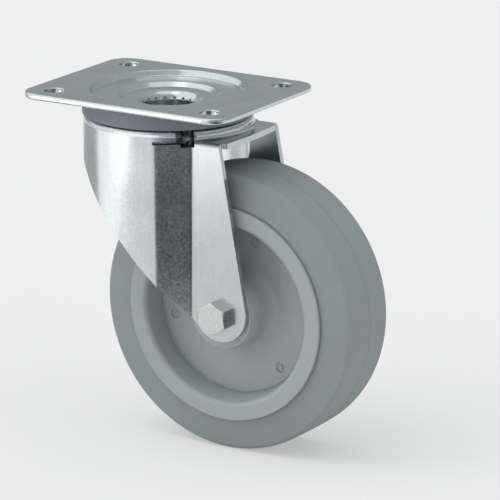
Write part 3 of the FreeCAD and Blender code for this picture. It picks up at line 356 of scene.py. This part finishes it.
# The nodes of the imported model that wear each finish
WEARS = {
    "plate": ["top_plate"],
    "fork": ["fork"],
    "cup": ["lower_race_cup"],
    "fastener": ["axle_bolt", "axle_nut", "bearing_spacer", "end_spacer_left",
                 "end_spacer_right", "bearing_cage_left", "bearing_cage_right"],
    "bearing": ["upper_swivel_balls", "lower_swivel_balls",
                "bearing_inner_ring_left", "bearing_inner_ring_right",
                "bearing_outer_ring_left", "bearing_outer_ring_right",
                "bearing_balls_left", "bearing_balls_right"],
    "ring": ["swivel_seal_ring"],
    "rim": ["wheel_centre"],
    "tyre": ["tyre"],
    "seal": ["bearing_seal_left_outer", "bearing_seal_left_inner",
             "bearing_seal_right_outer", "bearing_seal_right_inner"],
    "nylon": ["nut_insert"],
}


def wear(item, finish):
    """Puts one material on all of an object's faces."""
    item.data.materials.clear()
    item.data.materials.append(FINISHES[finish])


for finish, names in WEARS.items():
    for name in names:
        wear(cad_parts[name], finish)


# Geometry Nodes: a small builder for a tree and its modifier

class Tree:
    """A Geometry Nodes tree with named inputs, ending in Realize Instances and Set Material."""

    def __init__(self, name, sizes):
        self.group = bpy.data.node_groups.new(name, "GeometryNodeTree")
        face = self.group.interface
        face.new_socket("Geometry", in_out="INPUT", socket_type="NodeSocketGeometry")
        self.sizes = {}
        for label, size in sizes.items():
            kind = "NodeSocketInt" if isinstance(size, int) else "NodeSocketFloat"
            socket = face.new_socket(label, in_out="INPUT", socket_type=kind)
            socket.default_value = size
            self.sizes[socket.identifier] = size
        face.new_socket("Geometry", in_out="OUTPUT", socket_type="NodeSocketGeometry")
        self.inlet = self.group.nodes.new("NodeGroupInput")
        self.outlet = self.group.nodes.new("NodeGroupOutput")

    def given(self, label):
        """The tree's own input of that name."""
        return Shade(self.inlet.outputs[label])

    def node(self, kind, settings=None, inputs=None, output=0):
        return node(self.group, kind, settings, inputs, output)

    def end(self, geometry, finish):
        """Realises and smooths the geometry, and gives it its finish."""
        real = self.node("GeometryNodeRealizeInstances", None, {0: geometry})
        smooth = self.node("GeometryNodeSetShadeSmooth", None, {"Geometry": real})
        worn = self.node("GeometryNodeSetMaterial", None, {
            "Geometry": smooth, "Material": FINISHES[finish]})
        self.group.links.new(worn.socket, self.outlet.inputs[0])

    def made(self, name, base_mesh):
        """Runs the tree on a mesh and returns the result as a plain object."""
        source = bpy.data.objects.new(name + "_source", base_mesh)
        bpy.context.scene.collection.objects.link(source)
        modifier = source.modifiers.new("nodes", "NODES")
        modifier.node_group = self.group
        for identifier, size in self.sizes.items():
            modifier[identifier] = size
        source.update_tag()
        depsgraph = bpy.context.evaluated_depsgraph_get()
        depsgraph.update()
        mesh = bpy.data.meshes.new_from_object(source.evaluated_get(depsgraph))
        source.modifiers.clear()
        bpy.data.objects.remove(source)
        mesh.name = name
        item = bpy.data.objects.new(name, mesh)
        bpy.context.scene.collection.objects.link(item)
        return item


# Tyre: one moulded section swept round the axle, with the mould's parting line

BEAD_RADIUS = WHEEL_RADIUS - 17.88 * MM
SIDE_BEND = WHEEL_RADIUS - 13.4 * MM
SIDE_ROUND = 5.9 * MM
TREAD_HALF = TYRE_HALF - 1.8 * MM
TREAD_ROUND = 2.2 * MM
TREAD_CROWN = 0.25 * MM
GROOVE_HALF = 0.28 * MM
GROOVE_DEPTH = 0.30 * MM
GROOVE_LIP = TREAD_CROWN * 0.02

STEPS_PER_ROUND = 10
STEPS_OVER_TREAD = 9
STEPS_ROUND_AXLE = 320


def rounded(corners):
    """Points of an open outline whose corners (x, y, radius) are rounded."""
    points = []
    for index, (x, y, radius) in enumerate(corners):
        here = Vector((x, y))
        if radius == 0:
            points.append(here)
            continue
        before = (Vector(corners[index - 1][:2]) - here).normalized()
        after = (Vector(corners[index + 1][:2]) - here).normalized()
        half = before.angle(after) / 2
        centre = here + (before + after).normalized() * (radius / math.sin(half))
        start = (here + before * (radius / math.tan(half)) - centre).normalized()
        end = (here + after * (radius / math.tan(half)) - centre).normalized()
        for step in range(STEPS_PER_ROUND + 1):
            points.append(centre + start.slerp(end, step / STEPS_PER_ROUND) * radius)
    return points


def tyre_section():
    """Closed outline of the tyre, as width and radius, from one bead to the other."""
    half = rounded([
        (TYRE_HALF, BEAD_RADIUS, 0),
        (TYRE_HALF, SIDE_BEND, SIDE_ROUND),
        (TREAD_HALF, WHEEL_RADIUS - TREAD_CROWN, TREAD_ROUND),
        (GROOVE_HALF * 2, WHEEL_RADIUS - GROOVE_LIP, 0),
    ])
    # The tread bows up to the crown between its rounded edge and the parting line
    edge = half[-2]
    middle = half[-1]
    bowed = []
    for step in range(1, STEPS_OVER_TREAD):
        share = step / STEPS_OVER_TREAD
        across = edge.x + (middle.x - edge.x) * share
        drop = TREAD_CROWN * (across / TREAD_HALF) ** 2
        bowed.append(Vector((across, WHEEL_RADIUS - drop)))
    line = [Vector((GROOVE_HALF, WHEEL_RADIUS)), Vector((0, WHEEL_RADIUS - GROOVE_DEPTH))]
    side = half[:-1] + bowed + line
    return side + [Vector((-point.x, point.y)) for point in reversed(side[:-1])]


def outline_mesh(name, points, path_radius):
    """The section as a closed loop of edges, about the middle of its path."""
    mesh = bpy.data.meshes.new(name)
    count = len(points)
    mesh.from_pydata([(point.y - path_radius, point.x, 0) for point in points],
                     [(index, (index + 1) % count) for index in range(count)], [])
    return mesh


def sweep_tree(name, steps, path_radius, finish):
    """A tree that sweeps the section that comes in round a circle about the axle."""
    tree = Tree(name, {"Steps around": steps, "Path radius": path_radius})
    section = tree.node("GeometryNodeMeshToCurve", None, {"Mesh": tree.given("Geometry")})
    path = tree.node("GeometryNodeCurvePrimitiveCircle", None, {
        "Resolution": tree.given("Steps around"), "Radius": tree.given("Path radius")})
    swept = tree.node("GeometryNodeCurveToMesh", None, {
        "Curve": path, "Profile Curve": section})
    stood = tree.node("GeometryNodeTransform", None, {
        "Geometry": swept, "Translation": AXLE, "Rotation": (math.pi / 2, 0, 0)})
    tree.end(stood, finish)
    return tree


def facing_out(item):
    """Turns an inside-out closed mesh the right way."""
    work = bmesh.new()
    work.from_mesh(item.data)
    if work.calc_volume(signed=True) < 0:
        bmesh.ops.reverse_faces(work, faces=work.faces)
    work.to_mesh(item.data)
    work.free()


def make_tyre():
    """The grey tyre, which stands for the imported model's plain one."""
    path_radius = (WHEEL_RADIUS + BEAD_RADIUS) / 2
    tree = sweep_tree("tyre_sweep", STEPS_ROUND_AXLE, path_radius, "tyre")
    tyre = tree.made("grey_tyre", outline_mesh("tyre_section", tyre_section(), path_radius))
    facing_out(tyre)
    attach(tyre, "wheel")
    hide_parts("tyre")


make_tyre()


# Camera as in the photograph, and the studio

CAMERA_PLACE = Vector((0.8826, -1.3798, 0.3853))
CAMERA_TARGET = Vector((0.0354, 0.0106, -0.0714))
FOCAL = 276.0
SENSOR = 36.0
NEAREST = 0.05
FARTHEST = 50.0

FLOOR_HALF = 12.0
FLOOR_TONE = (0.83, 0.815, 0.805)
BACKDROP_TONE = (0.82, 0.82, 0.82)
BACKDROP_SHARE = 0.5

# Cards that only metal reflects: name, corners, tone. A corner without a height lies
# just over the floor.
CARD_LIFT = 1 * MM
CARDS = [
    ("dark_cloth", [(0.14, -0.10), (0.14, -0.75), (0.75, -0.75), (0.65, -0.08)],
     (0.048, 0.061, 0.070)),
    ("bright_board", [(-0.70, -0.46), (-0.245, -0.46), (-0.235, -0.40), (-0.19, -0.14),
                      (-0.70, -0.14)], (1.35,) * 3),
    ("white_board", [(-0.70, -0.80), (-0.20, -0.80), (-0.22, -0.465), (-0.70, -0.465)],
     (2.4,) * 3),
    ("grey_board", [(-0.75, -0.13), (-0.12, -0.13), (-0.12, 0.30), (-0.75, 0.30)],
     (0.45,) * 3),
    ("front_board", [(-0.90, -0.95, -0.15), (0.35, -0.95, -0.15), (0.35, -0.95, 0.40),
                     (-0.90, -0.95, 0.40)], (1.4,) * 3),
]

# Greys of the dome from the horizon up: sine of the elevation, colour
DOME = [(0.0, (0.31, 0.34, 0.36)), (0.42, (0.40, 0.43, 0.45)),
        (0.75, (0.47, 0.50, 0.525)), (1.0, (0.44, 0.475, 0.50))]

# Soft lamps far away: name, where from, width in degrees, strength, shown in reflections
SUNS = [
    ("left_glow", (-0.80, -0.45, 0.75), 90, 1.00, True),
    ("top_glow", (0.05, -0.05, 1.00), 50, 0.28, True),
    ("left_lamp", (-0.75, -0.45, 0.85), 44, 0.65, False),
    ("right_lamp", (0.90, -0.10, 0.55), 60, 0.36, False),
    ("top_lamp", (0.10, 0.05, 1.00), 80, 0.52, False),
]


def turned_along(direction):
    """The turn that makes a camera or lamp face along a direction."""
    return direction.to_track_quat("-Z", "Y").to_euler()


def set_camera():
    data = bpy.data.cameras.new("camera")
    data.lens = FOCAL
    data.sensor_width = SENSOR
    data.clip_start = NEAREST
    data.clip_end = FARTHEST
    camera = bpy.data.objects.new("camera", data)
    camera.location = CAMERA_PLACE
    camera.rotation_euler = turned_along(CAMERA_TARGET - CAMERA_PLACE)
    bpy.context.scene.collection.objects.link(camera)
    bpy.context.scene.camera = camera


def flat_piece(name, corners, finish):
    """One flat face of the stage, in its finish."""
    mesh = bpy.data.meshes.new(name)
    mesh.from_pydata(corners, [], [tuple(range(len(corners)))])
    mesh.materials.append(finish.material)
    piece = bpy.data.objects.new(name, mesh)
    bpy.context.scene.collection.objects.link(piece)
    return piece


def lay_floor():
    """Pale floor under the tyre, far wider than the view."""
    finish = Finish("pale_floor", Roughness=0.9, Specular_IOR_Level=0.1)
    haze = finish.noise(finish.place(), per_metre=3.0, detail=2.0)
    finish.feed(Base_Color=finish.colours(haze, spread(FLOOR_TONE, 0.998, 1.002)))
    # The camera and reflections see part of the floor as an even backdrop
    rays = finish.node("ShaderNodeLightPath").socket.node.outputs
    seen = (Shade(rays["Is Camera Ray"]) + Shade(rays["Is Glossy Ray"])
            + Shade(rays["Is Transmission Ray"])).held()
    glow = finish.node("ShaderNodeEmission", None, {"Color": (*BACKDROP_TONE, 1)})
    finish.end_in(finish.node("ShaderNodeMixShader", None, {
        0: seen * BACKDROP_SHARE, 1: Shade(finish.surface.outputs[0]), 2: glow}))
    corners = [(-FLOOR_HALF, -FLOOR_HALF, FLOOR), (FLOOR_HALF, -FLOOR_HALF, FLOOR),
               (FLOOR_HALF, FLOOR_HALF, FLOOR), (-FLOOR_HALF, FLOOR_HALF, FLOOR)]
    flat_piece("floor", corners, finish)


def lay_card(name, corners, tone):
    """A dark cloth or a bright board that only reflections show."""
    finish = Finish(name)
    finish.end_in(finish.node("ShaderNodeEmission", None, {"Color": (*tone, 1)}))
    level = FLOOR + CARD_LIFT
    card = flat_piece(name, [(*corner, level)[:3] for corner in corners], finish)
    card.visible_camera = False
    card.visible_diffuse = False
    card.visible_shadow = False
    card.visible_transmission = False


def raise_dome():
    """A soft grey world, lightest high up."""
    world = bpy.data.worlds.new("studio")
    bpy.context.scene.world = world
    world.use_nodes = True
    tree = world.node_tree
    way = node(tree, "ShaderNodeTexCoord", output="Generated")
    height = node(tree, "ShaderNodeSeparateXYZ", None, {0: way}, output="Z")
    dome = node(tree, "ShaderNodeValToRGB", {"stops": DOME}, {"Fac": height})
    tree.links.new(dome.socket, tree.nodes["Background"].inputs["Color"])


def hang_sun(name, direction, width, strength, mirrored):
    """A soft lamp so far away that it lights everything alike."""
    data = bpy.data.lights.new(name, "SUN")
    data.angle = math.radians(width)
    data.energy = strength
    lamp = bpy.data.objects.new(name, data)
    lamp.visible_glossy = mirrored
    lamp.rotation_euler = turned_along(-Vector(direction))
    bpy.context.scene.collection.objects.link(lamp)


set_camera()
lay_floor()
for card in CARDS:
    lay_card(*card)
raise_dome()
for sun in SUNS:
    hang_sun(*sun)

bpy.context.scene.view_settings.view_transform = "Standard"
